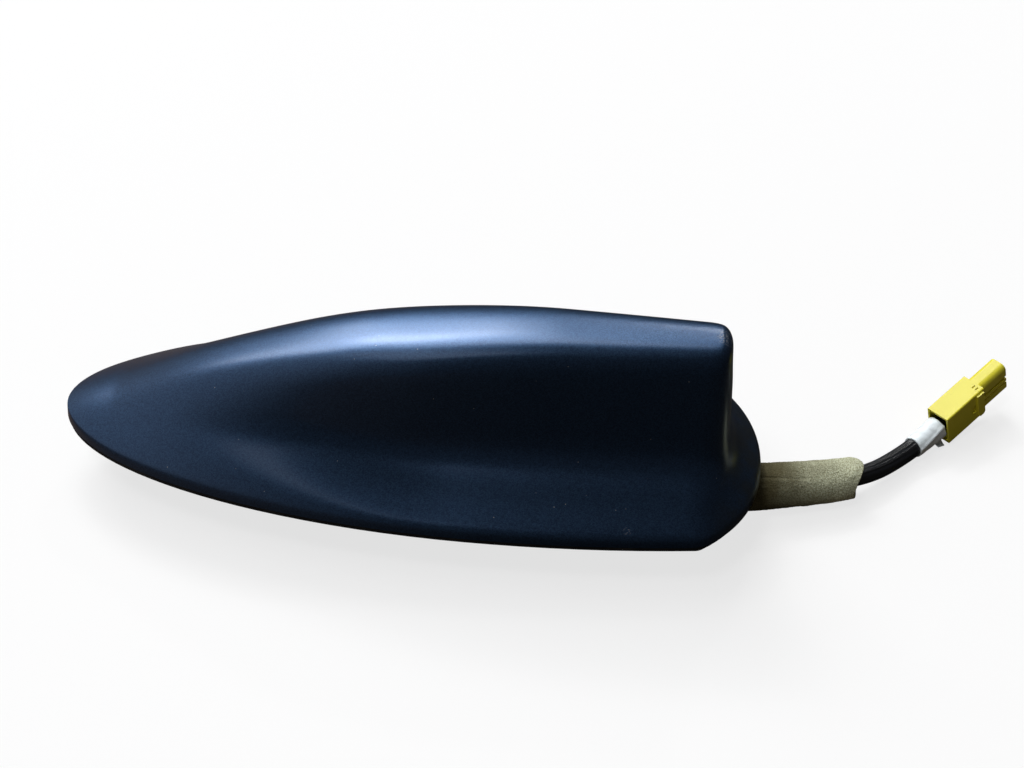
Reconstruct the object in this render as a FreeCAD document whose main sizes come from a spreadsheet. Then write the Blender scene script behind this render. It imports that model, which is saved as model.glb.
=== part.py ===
import FreeCAD, Part
import Sketcher
import math
import os
import re
from FreeCAD import Placement, Rotation, Vector

# Fin-shaped roof antenna for a car: a painted cover on a cast base with its stud, the boards
# inside, and a short pigtail that leaves under the tail and ends in a plug.
# X runs to the rear of the car, Y to its right, Z up. Z = 0 is the roof, the stud's axis is Z.

doc = FreeCAD.newDocument("roof_antenna")
sheet = doc.addObject("Spreadsheet::Sheet", "Sizes")

sizes = (
    ("base_length", 171, "cover, nose to tail"),
    ("base_width", 66, "cover, widest"),
    ("nose_length", 100, "nose to the widest station"),
    ("side_radius", 400, "plan curve of the sides behind that station"),
    ("rear_radius", 36, "plan curve of the tail"),
    ("rear_corner", 4, "corner between side and tail, and the fin's rear edges"),
    ("stud_from_nose", 95, "nose to the stud's axis"),
    ("fin_height", 43.6, "ridge over the roof, at the rear"),
    ("crest_run", 120, "nose to where the ridge stops climbing"),
    ("crest_rise", 1.2, "slow climb of the ridge over its whole length"),
    ("lip_height", 2.6, "upright band at the cover's rim"),
    ("crown_half", 8.8, "fin, half thickness under the ridge"),
    ("foot_half", 14, "fin, half thickness at its foot"),
    ("foot_rise", 8, "fin's foot over the rim"),
    ("skirt_half", 22.5, "middle of the skirt, from the centre plane"),
    ("skirt_rise", 4.4, "middle of the skirt over the rim"),
    ("flare_start", 8, "nose to where the dome starts to narrow into the fin"),
    ("flare_run", 87, "length over which it narrows"),
    ("tail_length", 10, "tail behind the fin's foot"),
    ("rear_rake", 2, "fin's top edge ahead of its foot at the rear"),
    ("cover_wall", 2.3, "cover's wall"),
    ("post_radius", 4, "screw posts in the cover"),
    ("gasket_thickness", 1.6, "seal between antenna and roof"),
    ("gasket_inset", 0.5, "seal's edge inside the cover's rim"),
    ("gasket_width", 9.5, "seal's width"),
    ("gasket_groove", 0.5, "groove in the seal's face"),
    ("plate_inset", 5.5, "base plate's edge inside the cover's rim"),
    ("plate_thickness", 2.5, "base plate"),
    ("seal_height", 1, "inner seal"),
    ("easy_fit", 0.2, "gap round pieces that are only laid in"),
    ("close_fit", 0.05, "gap round pieces that are pressed or screwed in"),
    ("pad_radius", 4.5, "screw pads on the plate"),
    ("pad_height", 2, "screw pads on the plate"),
    ("front_post", 29, "nose to the front screw"),
    ("mid_post_x", -8, "middle screws"),
    ("mid_post_y", 13.5, "middle screws"),
    ("rear_post", 19, "rear screws to the tail"),
    ("rear_post_y", 13, "rear screws"),
    ("screw_radius", 1.5, "cover screw's shank"),
    ("screw_head", 2.6, "cover screw's head, radius"),
    ("screw_head_height", 1.8, "cover screw's head"),
    ("screw_grip", 4.6, "cover screw in its post"),
    ("stud_radius", 4, "roof stud's thread"),
    ("stud_reach", 13, "stud's end below the roof"),
    ("stud_chamfer", 0.8, "stud's end"),
    ("stud_shoulder", 4.4, "stud in the plate, radius"),
    ("stud_head", 6.5, "stud's head, radius"),
    ("stud_head_height", 2.4, "stud's head"),
    ("board_lift", 3.1, "board over the plate"),
    ("board_thickness", 1.6, "boards"),
    ("board_front", 39, "nose to the board"),
    ("board_rear", 26, "board to the tail"),
    ("board_half", 14, "board, half width"),
    ("board_corner", 4, "board's corners"),
    ("board_screw_front", -21, "front board screws"),
    ("board_screw_rear", 34, "rear board screws to the tail"),
    ("board_screw_y", 10.5, "board screws"),
    ("board_screw_radius", 1.25, "board screw's shank"),
    ("board_screw_head", 2.2, "board screw's head, radius"),
    ("board_post_radius", 3, "posts under the board"),
    ("window_front", 0, "window in the board for the cable"),
    ("window_rear", 41, "window in the board to the tail"),
    ("window_half", 4.2, "window, half width"),
    ("patch_place", 55, "nose to the ceramic patch's middle"),
    ("patch_side", 25, "ceramic patch"),
    ("patch_height", 4, "ceramic patch"),
    ("patch_bevel", 1.5, "its cut corner"),
    ("pin_offset", 2, "feed pin behind the patch's middle"),
    ("pin_radius", 0.5, "feed pin"),
    ("can_length", 22, "shield can"),
    ("can_width", 20, "shield can"),
    ("can_height", 2.4, "shield can"),
    ("can_sheet", 0.3, "shield can's sheet"),
    ("element_front", -20, "upright element's front edge"),
    ("element_rear", 20, "upright element to the tail"),
    ("element_low", 17, "its lower edge over the roof"),
    ("element_air", 1.6, "gap between it and the cover"),
    ("leg_length", 6, "its legs"),
    ("rear_leg", 36, "its rear leg to the tail"),
    ("tab_length", 3, "its tabs in the board"),
    ("cable_radius", 2.45, "pigtail"),
    ("outlet_depth", 7, "cable's axis below the roof at the outlet"),
    ("outlet_front", 13, "outlet's front end"),
    ("outlet_rear", 46, "outlet's mouth"),
    ("outlet_half", 5.6, "outlet, half width"),
    ("outlet_wall", 1.2, "outlet's wall under the grommet"),
    ("outlet_round", 3, "outlet's lower edges"),
    ("grommet_radius", 4.2, "grommet in the mouth"),
    ("grommet_depth", 3, "grommet in the mouth"),
    ("grommet_flange", 5.2, "grommet's flange, radius"),
    ("grommet_collar", 2, "grommet's flange"),
    ("clamp_x", -6, "strap over the cable, front edge"),
    ("clamp_length", 5, "strap along the cable"),
    ("clamp_sheet", 0.5, "strap's sheet"),
    ("clamp_foot", 3, "strap's feet"),
    ("sleeve_length", 53, "foam sleeve along the cable"),
    ("sleeve_start_half", 7.6, "foam sleeve at the antenna, half width"),
    ("sleeve_start_rise", 5.8, "foam sleeve at the antenna, half height"),
    ("sleeve_end_half", 5.75, "foam sleeve at its free end, half width"),
    ("sleeve_end_rise", 4.7, "foam sleeve at its free end, half height"),
    ("tape_length", 9.5, "white wrap"),
    ("tape_sheet", 0.45, "white wrap's thickness"),
    ("plug_x", 123.7, "back face of the plug"),
    ("plug_y", 31.2, "back face of the plug"),
    ("plug_lift", 4.85, "middle of the plug's back face over the ground"),
    ("plug_heading", 46.3, "plug's direction from X"),
    ("plug_pitch", 13.7, "plug's nose tipped up"),
    ("plug_roll", 5.9, "plug's right side tipped up"),
    ("plug_length", 14, "plug's body"),
    ("plug_width", 6.8, "plug's body"),
    ("plug_height", 9.2, "plug's body"),
    ("plug_wall", 0.6, "plug's wall round the cable"),
    ("plug_round", 0.4, "plug's long edges"),
    ("socket_depth", 9, "recess for the cable in the plug"),
    ("nose_reach", 9.5, "plug's nose"),
    ("nose_width", 5, "plug's nose"),
    ("nose_round", 1.6, "upper edges of the plug's nose"),
    ("nose_drop", 0.4, "nose's top below the body's"),
    ("nose_lift", 0.6, "nose's underside over the body's"),
    ("groove_depth", 0.5, "grooves along the nose"),
    ("groove_width", 0.9, "grooves along the nose"),
    ("stop_length", 2.4, "side stops of the plug"),
    ("stop_height", 8.4, "side stops of the plug"),
    ("stop_thickness", 0.6, "side stops of the plug"),
    ("barrel_radius", 2.2, "crimp round the cable's end"),
    ("barrel_lead", 0.4, "crimp behind the plug's back face"),
    ("barrel_length", 7.5, "crimp round the cable's end"),
    ("shell_radius", 1.7, "outer contact"),
    ("shell_sheet", 0.35, "outer contact's sheet"),
    ("contact_radius", 0.5, "centre contact"),
    ("contact_recess", 1.5, "contacts behind the nose's face"),
)
for row, (name, number, meaning) in enumerate(sizes, 1):
    sheet.set(f"A{row}", meaning)
    sheet.set(f"B{row}", str(number))
    sheet.setAlias(f"B{row}", name)
doc.recompute()
names = {name for name, number, meaning in sizes}


def cell(text):
    return re.sub(r"[a-z_]+", lambda word: "Sizes." + word[0] if word[0] in names else word[0], text)


def size(text):
    return float(sheet.evalExpression(cell(text)))


def bind(item, **texts):
    for key, text in texts.items():
        item.setExpression(key, cell(text))
    return item


def place(item, x="0", y="0", z="0"):
    item.setExpression("Placement.Base.x", cell(x))
    item.setExpression("Placement.Base.y", cell(y))
    item.setExpression("Placement.Base.z", cell(z))
    return item


# Heights that several pieces share
rim_top = "(gasket_thickness + lip_height)"
plate_top = "(gasket_thickness + plate_thickness)"
pad_top = "(gasket_thickness + plate_thickness + pad_height)"
board_low = "(gasket_thickness + plate_thickness + board_lift)"
board_top = "(gasket_thickness + plate_thickness + board_lift + board_thickness)"
plug_middle = "(plug_lift - stud_reach)"

# Stations along the antenna, counted from its nose or its tail
tail_end = "(base_length - stud_from_nose)"
rear_centre = f"({tail_end} - rear_radius)"
front_post_x = "(front_post - stud_from_nose)"
rear_post_x = f"({tail_end} - rear_post)"
board_front_x = "(board_front - stud_from_nose)"
board_rear_x = f"({tail_end} - board_rear)"
board_screw_rear_x = f"({tail_end} - board_screw_rear)"
patch_x = "(patch_place - stud_from_nose)"
element_rear_x = f"({tail_end} - element_rear)"
rear_leg_x = f"({tail_end} - rear_leg)"
window_rear_x = f"({tail_end} - window_rear)"


# Plain solids
def cylinder(name, radius, height, x="0", y="0", z="0"):
    item = bind(doc.addObject("Part::Cylinder", name), Radius=radius, Height=height)
    return place(item, x, y, z)


def lying_cylinder(name, radius, length, x, z):
    item = bind(doc.addObject("Part::Cylinder", name), Radius=radius, Height=length)
    item.Placement = Placement(Vector(), Rotation(Vector(0, 1, 0), 90))
    return place(item, x, "0", z)


def box(name, length, width, height, x, y, z):
    item = bind(doc.addObject("Part::Box", name), Length=length, Width=width, Height=height)
    return place(item, x, y, z)


def fuse(name, items):
    item = doc.addObject("Part::MultiFuse", name)
    item.Shapes = items
    return item


def cut(name, base, tool):
    item = doc.addObject("Part::Cut", name)
    item.Base = base
    item.Tool = tool
    return item


def group(name, items):
    item = doc.addObject("Part::Compound", name)
    item.Links = items
    return item


def shaped(name, shape):
    item = doc.addObject("Part::Feature", name)
    item.Shape = shape
    return item


# Bodies with sketches
def new_body(name):
    return doc.addObject("PartDesign::Body", name)


def sketch(body, name, role, lift="0"):
    drawing = body.newObject("Sketcher::SketchObject", name)
    plane = next(item for item in body.Origin.OriginFeatures if item.Role == role)
    drawing.AttachmentSupport = [(plane, "")]
    drawing.MapMode = "FlatFace"
    drawing.setExpression("AttachmentOffset.Base.z", cell(lift))
    return drawing


def tie(drawing, kind, geometry, point, text):
    index = drawing.addConstraint(Sketcher.Constraint(kind, -1, 1, geometry, point, size(text)))
    drawing.setExpression(f"Constraints[{index}]", cell(text))


def polygon(drawing, corners):
    first = drawing.GeometryCount
    spots = [Vector(size(across), size(along), 0) for across, along in corners]
    count = len(spots)
    for i in range(count):
        drawing.addGeometry(Part.LineSegment(spots[i], spots[(i + 1) % count]), False)
    for i in range(count):
        drawing.addConstraint(Sketcher.Constraint("Coincident", first + i, 2, first + (i + 1) % count, 1))
    for i, (across, along) in enumerate(corners):
        tie(drawing, "DistanceX", first + i, 1, across)
        tie(drawing, "DistanceY", first + i, 1, along)


def rectangle(drawing, left, right, low, high):
    polygon(drawing, [(left, low), (right, low), (right, high), (left, high)])


def circle(drawing, across, along, radius):
    centre = Vector(size(across), size(along), 0)
    index = drawing.addGeometry(Part.Circle(centre, Vector(0, 0, 1), size(radius)))
    tie(drawing, "DistanceX", index, 3, across)
    tie(drawing, "DistanceY", index, 3, along)
    number = drawing.addConstraint(Sketcher.Constraint("Radius", index, size(radius)))
    drawing.setExpression(f"Constraints[{number}]", cell(radius))


def pad(body, name, drawing, length, centred=False):
    item = body.newObject("PartDesign::Pad", name)
    item.Profile = drawing
    item.Midplane = centred
    return bind(item, Length=length)


def pocket(body, name, drawing, length, centred=False):
    item = body.newObject("PartDesign::Pocket", name)
    item.Profile = drawing
    item.Midplane = centred
    return bind(item, Length=length)


def turned(body, name, drawing, axis="V_Axis"):
    item = body.newObject("PartDesign::Revolution", name)
    item.Profile = drawing
    item.ReferenceAxis = (drawing, [axis])
    item.Angle = 360
    return item


def long_edges(item, direction, wanted):
    # names of the straight edges that run in the direction and whose middle is wanted
    found = []
    for index, edge in enumerate(item.Shape.Edges, 1):
        if not isinstance(edge.Curve, Part.Line):
            continue
        if abs(edge.tangentAt(edge.FirstParameter).dot(direction)) < 0.999:
            continue
        if wanted(edge.CenterOfMass):
            found.append(f"Edge{index}")
    return found


# Plan outline of the rim, drawn in by an inset
def meeting(first, first_radius, second, second_radius):
    # the rearmost point at those distances from two centres
    way = second - first
    gap = way.Length
    along = (first_radius ** 2 - second_radius ** 2 + gap ** 2) / (2 * gap)
    across = math.sqrt(first_radius ** 2 - along ** 2)
    way.normalize()
    side = Vector(-way.y, way.x, 0)
    spots = [first + way * along + side * across, first + way * along - side * across]
    return max(spots, key=lambda spot: spot.x)


def arc_about(centre, radius, start, end):
    middle = (start - centre).normalize() + (end - centre).normalize()
    return Part.Arc(start, centre + middle.normalize() * radius, end)


def outline(inset):
    widest = size("nose_length - stud_from_nose")
    half = size("base_width / 2") - inset
    ellipse = Part.Ellipse(Vector(widest, 0, 0), size("nose_length") - inset, half)
    front = Part.ArcOfEllipse(ellipse, math.pi / 2, 3 * math.pi / 2)
    side_centre = Vector(widest, size("base_width / 2 - side_radius"), 0)
    tail_centre = Vector(size(rear_centre), 0, 0)
    side = size("side_radius") - inset
    tail = size("rear_radius") - inset
    corner = max(size("rear_corner") - inset, size("rear_corner") / 5)
    corner_centre = meeting(side_centre, side - corner, tail_centre, tail - corner)
    leaves_side = side_centre + (corner_centre - side_centre).normalize() * side
    joins_tail = tail_centre + (corner_centre - tail_centre).normalize() * tail
    widest_spot = Vector(widest, half, 0)
    right = [
        arc_about(side_centre, side, widest_spot, leaves_side),
        arc_about(corner_centre, corner, leaves_side, joins_tail),
    ]
    mirrored = []
    for curve in right:
        other = curve.toShape().mirror(Vector(), Vector(0, 1, 0))
        mirrored.append(other)
    tail_end = Vector(joins_tail.x, -joins_tail.y, 0)
    rear = Part.Arc(joins_tail, tail_centre + Vector(tail, 0, 0), tail_end)
    edges = [front.toShape(), rear.toShape()] + [curve.toShape() for curve in right] + mirrored
    return Part.Wire(Part.__sortEdges__(edges))


def slab(name, inset, low, height):
    plan = shaped(name + "_outline", outline(size(inset)))
    place(plan, z=low)
    item = doc.addObject("Part::Extrusion", name)
    item.Base = plan
    item.DirMode = "Custom"
    item.Dir = Vector(0, 0, 1)
    item.Solid = True
    return bind(item, LengthFwd=height)


def ring(name, outer, inner, low, height):
    return cut(name, slab(name + "_outer", outer, low, height), slab(name + "_inner", inner, low, height))


# Skin of the cover: cross-sections from the nose to the tail, each a smooth curve over the fin
def rim_half_width(station):
    half = size("base_width / 2")
    behind = station - size("nose_length")
    if behind <= 0:
        return half * math.sqrt(1 - (behind / size("nose_length")) ** 2)
    radius = size("side_radius")
    return half - radius + math.sqrt(radius ** 2 - behind ** 2)


def ridge(station):
    ahead = 1 - min(station / size("crest_run"), 1)
    slow = min(station / size("base_length - tail_length"), 1)
    climb = size(f"fin_height - {rim_top} - crest_rise")
    return size(rim_top) + climb * (1 - ahead ** 1.9) + size("crest_rise") * slow


def smooth(share):
    share = min(max(share, 0), 1)
    return share * share * (3 - 2 * share)


def section_poles(station, inset):
    half = rim_half_width(station) - inset
    rim = size(rim_top) - 0.6 * inset
    rise = ridge(station) - inset - rim
    widest = size("base_width / 2") - inset
    tallest = size("fin_height") - inset - rim
    crown = Vector((size("crown_half") - inset) / widest, 0.94, 0)
    foot = Vector((size("foot_half") - inset) / widest, size("foot_rise") / tallest, 0)
    skirt = Vector((size("skirt_half") - inset / 2) / widest, (size("skirt_rise") - 0.3 * inset) / tallest, 0)
    shoulder = Vector(0.91, 0.36 * skirt.y, 0)
    flank = crown - foot
    fin = [shoulder, skirt, foot, foot + flank / 3, foot + flank * 2 / 3, crown, Vector(0.62 * crown.x, 1, 0)]
    share = smooth((station - size("flare_start")) / size("flare_run"))
    poles = [Vector(half, 0, 0), Vector(half, 0.55 * rim, 0), Vector(half, rim, 0)]
    for i, spot in enumerate(fin, 1):
        across = 1 - i / (len(fin) + 1)
        dome = Vector(across, 1 - across ** 2, 0)
        mixed = dome * (1 - share) + spot * share
        poles.append(Vector(half * mixed.x, rim + rise * mixed.y, 0))
    return poles + [Vector(0, rim + rise, 0)]


def tail_poles(inset):
    radius = size("rear_radius") - inset
    tail = size("tail_length")
    rise = size("foot_rise")
    rim = size(rim_top) - 0.6 * inset
    foot = Vector(radius - tail, rim + 2.1 * rise, 0)
    top = Vector(radius - tail - size("rear_rake"), size("fin_height"), 0)
    poles = [Vector(radius, 0, 0), Vector(radius, 0.55 * rim, 0), Vector(radius, rim, 0)]
    poles += [Vector(radius - 0.22 * tail, rim + 0.16 * rise, 0)]
    poles += [Vector(radius - 0.6 * tail, rim + 0.42 * rise, 0)]
    poles += [Vector(radius - 0.9 * tail, rim + 0.9 * rise, 0)]
    return poles + [foot, (foot + top) / 2, top, top + (top - foot) / 2]


def smooth_curve(poles):
    spans = len(poles) - 3
    curve = Part.BSplineCurve()
    curve.buildFromPolesMultsKnots(poles, [4] + [1] * (spans - 1) + [4], range(spans + 1), False, 3)
    return curve


def skin(name, inset):
    # solid under the skin, with the tail and the fin's rear face cut by a turned form
    steps = 13
    first = 0.1 + inset
    start = math.acos(1 - first / size("nose_length"))
    stations = []
    for i in range(steps + 1):
        turn = start + (math.pi / 2 - start) * i / steps
        stations.append(size("nose_length") * (1 - math.cos(turn)))
    past = size("base_length - nose_length") + 6
    stations += [size("nose_length") + past * i / 5 for i in range(1, 6)]
    sections = []
    for number, station in enumerate(stations, 1):
        half = section_poles(station, inset)
        poles = half + [Vector(-spot.x, spot.y, 0) for spot in reversed(half[:-1])]
        upright = [Vector(station - size("stud_from_nose"), spot.x, spot.y) for spot in poles]
        floor = Part.LineSegment(upright[-1], upright[0])
        wire = Part.Wire([smooth_curve(upright).toShape(), floor.toShape()])
        sections.append(shaped(f"{name}_section_{number:02d}", wire))
    form = doc.addObject("Part::Loft", name + "_form")
    form.Sections = sections
    form.Solid = True
    form.Ruled = False

    centre = size(rear_centre)
    profile = [Vector(centre - spot.x, 0, spot.y) for spot in tail_poles(inset)]
    corners = [profile[-1], Vector(centre, 0, profile[-1].z), Vector(centre, 0, profile[0].z), profile[0]]
    edges = [smooth_curve(profile).toShape()]
    edges += [Part.LineSegment(a, b).toShape() for a, b in zip(corners, corners[1:])]
    face = shaped(name + "_tail_profile", Part.Face(Part.Wire(edges)))
    tail = doc.addObject("Part::Revolution", name + "_tail")
    tail.Source = face
    tail.Axis = Vector(0, 0, 1)
    tail.Base = Vector(centre, 0, 0)
    tail.Angle = 360
    tail.Solid = True
    block = box(name + "_behind", "rear_radius * 2", "base_width * 2", "fin_height * 2",
                rear_centre, "-base_width", "-fin_height / 2")
    return cut(name, form, cut(name + "_waste", block, tail))


def cover_spots():
    # screws that hold the cover, as x and y
    return [(front_post_x, "0"),
            ("mid_post_x", "mid_post_y"), ("mid_post_x", "-mid_post_y"),
            (rear_post_x, "rear_post_y"), (rear_post_x, "-rear_post_y")]


def board_spots():
    return [(x, y) for x in ("board_screw_front", board_screw_rear_x)
            for y in ("board_screw_y", "-board_screw_y")]


# Cover
below = box("cover_below", "base_length * 2", "base_width * 2", "gasket_thickness * 2",
            "-base_length", "-base_width", "-gasket_thickness")
outside = cut("cover_trimmed", skin("cover_outside", 0), below)
doc.recompute()
rear_edges = []
for index, edge in enumerate(outside.Shape.Edges, 1):
    reach = edge.BoundBox
    if reach.XMin > size(rear_centre) and reach.ZLength > size("fin_height") * 0.8:
        rear_edges.append(index)
rear_crown = size("crown_half * 2 / base_width") * rim_half_width(size("base_length - tail_length"))
hip_round = min(size("rear_corner"), 0.54 * rear_crown)
rounded = doc.addObject("Part::Fillet", "cover_rounded")
rounded.Base = outside
rounded.Edges = [(index, hip_round, hip_round) for index in rear_edges]
inside = skin("cover_inside", size("cover_wall"))
shell = cut("cover_shell", rounded, inside)
posts = [cylinder(f"cover_post_{i}", "post_radius", "fin_height", x, y, pad_top)
         for i, (x, y) in enumerate(cover_spots(), 1)]
post_ends = doc.addObject("Part::MultiCommon", "cover_posts")
post_ends.Shapes = [fuse("cover_post_set", posts), skin("cover_middle", size("cover_wall") / 2)]
pilots = [cylinder(f"cover_pilot_{i}", "screw_radius + close_fit", "screw_grip + easy_fit", x, y, pad_top)
          for i, (x, y) in enumerate(cover_spots(), 1)]
fin_cover = cut("fin_cover", fuse("cover_with_posts", [shell, post_ends]), group("cover_pilots", pilots))

# Seals
gasket_inner = "gasket_inset + gasket_width"
gasket_body = ring("gasket_body", "gasket_inset", gasket_inner, "0", "gasket_thickness")
gasket_channel = ring("gasket_channel", "gasket_inset + gasket_width * 0.3",
                      "gasket_inset + gasket_width * 0.65", "0", "gasket_groove")
base_gasket = cut("base_gasket", gasket_body, gasket_channel)
inner_seal = ring("inner_seal", "cover_wall + 3 * easy_fit", "plate_inset - easy_fit",
                  "gasket_thickness", "seal_height")

# Pigtail's way: from the strap on the board down through the base, out under the tail and along
# the ground to the plug
strap_level = size(board_top) + size("cable_radius")
outlet_level = -size("outlet_depth")
plug_level = size(plug_middle)
heading = math.radians(size("plug_heading"))
pitch = math.radians(size("plug_pitch"))
plug_way = Vector(math.cos(pitch) * math.cos(heading), math.cos(pitch) * math.sin(heading), math.sin(pitch))
plug_back = Vector(size("plug_x"), size("plug_y"), plug_level)
route = [
    Vector(-10, 0, strap_level),
    Vector(9, 0, strap_level),
    Vector(33, 0, outlet_level),
    Vector(55, 0, outlet_level),
    Vector(75, 2.1, outlet_level - 0.6),
    Vector(88, 5.4, outlet_level - 0.8),
    Vector(99, 8.6, outlet_level - 1.1),
    Vector(106.2, 12.9, outlet_level - 1.9),
    Vector(112, 18.6, outlet_level - 2.7),
    plug_back - plug_way * 8.2,
    plug_back - plug_way * size("barrel_lead"),
]


def way_edges(points):
    # straight runs joined by arcs that touch both
    edges = []
    radii = []
    here = points[0]
    for before, corner, after in zip(points, points[1:], points[2:]):
        back = before - corner
        ahead = after - corner
        reach = 0.45 * min(back.Length, ahead.Length)
        back.normalize()
        ahead.normalize()
        half_turn = (math.pi - back.getAngle(ahead)) / 2
        radius = reach / math.tan(half_turn)
        start = corner + back * reach
        end = corner + ahead * reach
        inward = (back + ahead).normalize()
        middle = corner + inward * (radius / math.cos(half_turn) - radius)
        edges.append(Part.LineSegment(here, start).toShape())
        edges.append(Part.Arc(start, middle, end).toShape())
        radii.append(radius)
        here = end
    edges.append(Part.LineSegment(here, points[-1]).toShape())
    return edges, radii


def stretch(edges, start, end):
    # the part of the way between two distances from its beginning
    kept = []
    passed = 0
    for edge in edges:
        low = max(start - passed, 0)
        high = min(end - passed, edge.Length)
        if high - low > 1e-6:
            ends = [edge.getParameterByLength(low), edge.getParameterByLength(high)]
            kept.append(Part.Edge(edge.Curve, *ends))
        passed += edge.Length
    return kept


def tube(edges, start_radius, end_radius):
    first = edges[0]
    last = edges[-1]
    sweep = Part.BRepOffsetAPI.MakePipeShell(Part.Wire(edges))
    begin = first.valueAt(first.FirstParameter)
    finish = last.valueAt(last.LastParameter)
    sweep.add(Part.Wire(Part.makeCircle(start_radius, begin, first.tangentAt(first.FirstParameter))))
    if end_radius != start_radius:
        sweep.add(Part.Wire(Part.makeCircle(end_radius, finish, last.tangentAt(last.LastParameter))))
    sweep.setTransitionMode(0)
    sweep.build()
    sweep.makeSolid()
    return sweep.shape()


def pressed_tube(edges, start, end):
    # tube that lies a little flat, from half widths and half heights
    sweep = Part.BRepOffsetAPI.MakePipeShell(Part.Wire(edges))
    for edge, place, (half, rise) in ((edges[0], edges[0].FirstParameter, start),
                                      (edges[-1], edges[-1].LastParameter, end)):
        spot = edge.valueAt(place)
        ahead = edge.tangentAt(place)
        across = ahead.cross(Vector(0, 0, 1)).normalize()
        upward = across.cross(ahead)
        sweep.add(Part.Wire(Part.Ellipse(spot + across * half, spot + upward * rise, spot).toShape()))
    sweep.setTransitionMode(0)
    sweep.build()
    sweep.makeSolid()
    return sweep.shape()


way, bends = way_edges(route)
way_length = sum(edge.Length for edge in way)
thin = size("cable_radius")
print("pigtail bends, mm:", [round(radius, 1) for radius in bends])
cable_solid = tube(way, thin, thin)
plain_volume = math.pi * thin ** 2 * way_length
print("pigtail length", round(way_length, 1), "volume share", round(cable_solid.Volume / plain_volume, 4))
antenna_cable = shaped("antenna_cable", cable_solid)

mouth = size("outlet_rear + grommet_collar")
sleeve_start = 0
for edge in way:
    low = edge.valueAt(edge.FirstParameter).x
    high = edge.valueAt(edge.LastParameter).x
    if low <= mouth <= high:
        sleeve_start += edge.Length * (mouth - low) / (high - low)
        break
    sleeve_start += edge.Length
sleeve_start += size("easy_fit")
sleeve_way = stretch(way, sleeve_start, sleeve_start + size("sleeve_length"))
sleeve_solid = pressed_tube(sleeve_way, (size("sleeve_start_half"), size("sleeve_start_rise")),
                            (size("sleeve_end_half"), size("sleeve_end_rise")))
sleeve_outside = shaped("sleeve_outside", sleeve_solid)
bore = thin + size("easy_fit")
sleeve_bore = shaped("sleeve_bore", tube(way[2:], bore, bore))
foam_sleeve = cut("foam_sleeve", sleeve_outside, sleeve_bore)
tape_end = way_length - size("easy_fit")
wrap = thin + size("close_fit") + size("tape_sheet")
tape_way = stretch(way, tape_end - size("tape_length"), tape_end)
tape_outside = shaped("tape_outside", tube(tape_way, wrap, wrap))
tape_bore = shaped("tape_bore", tube(way[4:], thin + size("close_fit"), thin + size("close_fit")))
white_tape = cut("white_tape", tape_outside, tape_bore)

# Base plate, with the outlet that leads the cable down and back
plate = slab("plate_slab", "plate_inset", "gasket_thickness", "plate_thickness")
plate_pads = [cylinder(f"plate_pad_{i}", "pad_radius", "plate_thickness + pad_height",
                       x, y, "gasket_thickness") for i, (x, y) in enumerate(cover_spots(), 1)]
plate_posts = [cylinder(f"plate_post_{i}", "board_post_radius", "plate_thickness + board_lift",
                        x, y, "gasket_thickness") for i, (x, y) in enumerate(board_spots(), 1)]
outlet_low = "-(outlet_depth + grommet_radius + outlet_wall)"
outlet = new_body("outlet")
outlet_side = sketch(outlet, "outlet_side", "XZ_Plane")
polygon(outlet_side, [("outlet_front", "gasket_thickness"), ("outlet_front", plate_top),
                      ("outlet_rear", plate_top), ("outlet_rear", outlet_low),
                      ("outlet_rear - outlet_front", outlet_low)])
outlet_pad = pad(outlet, "outlet_pad", outlet_side, "outlet_half * 2", True)
doc.recompute()
outlet_edges = long_edges(outlet_pad, Vector(1, 0, 0), lambda spot: spot.z < size("outlet_depth") * -1.2)
outlet_fillet = outlet.newObject("PartDesign::Fillet", "outlet_fillet")
outlet_fillet.Base = (outlet_pad, outlet_edges)
bind(outlet_fillet, Radius="outlet_round")
solid_plate = fuse("plate_solid", [plate, outlet] + plate_pads + plate_posts)
plate_holes = []
for i, (x, y) in enumerate(cover_spots(), 1):
    plate_holes.append(cylinder(f"plate_hole_{i}", "screw_radius + easy_fit", "fin_height", x, y, "0"))
    plate_holes.append(cylinder(f"plate_recess_{i}", "screw_head + easy_fit", "screw_head_height + easy_fit",
                                x, y, "gasket_thickness"))
for i, (x, y) in enumerate(board_spots(), 1):
    plate_holes.append(cylinder(f"plate_thread_{i}", "board_screw_radius + close_fit",
                                "plate_thickness + board_lift", x, y, f"{plate_top} - plate_thickness / 2"))
plate_holes.append(cylinder("plate_stud_hole", "stud_shoulder + close_fit", "fin_height", "0", "0", "0"))
plate_holes.append(lying_cylinder("plate_mouth", "grommet_radius + close_fit", "grommet_depth",
                                  "outlet_rear - grommet_depth", "-outlet_depth"))
tunnel = thin + 1.5 * size("easy_fit")
plate_holes.append(shaped("plate_tunnel", tube(way[:6], tunnel, tunnel)))
base_plate = cut("base_plate", solid_plate, fuse("plate_cutters", plate_holes))

# Stud, with its head on the plate and its shoulder in it
mounting_stud = new_body("mounting_stud")
stud_profile = sketch(mounting_stud, "stud_profile", "XZ_Plane")
stud_top = plate_top + " + stud_head_height"
polygon(stud_profile, [("0", stud_top), ("stud_head", stud_top),
                       ("stud_head", plate_top), ("stud_shoulder", plate_top),
                       ("stud_shoulder", "gasket_thickness"), ("stud_radius", "gasket_thickness"),
                       ("stud_radius", "stud_chamfer - stud_reach"),
                       ("stud_radius - stud_chamfer", "-stud_reach"), ("0", "-stud_reach")])
turned(mounting_stud, "stud_turned", stud_profile)


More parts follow.
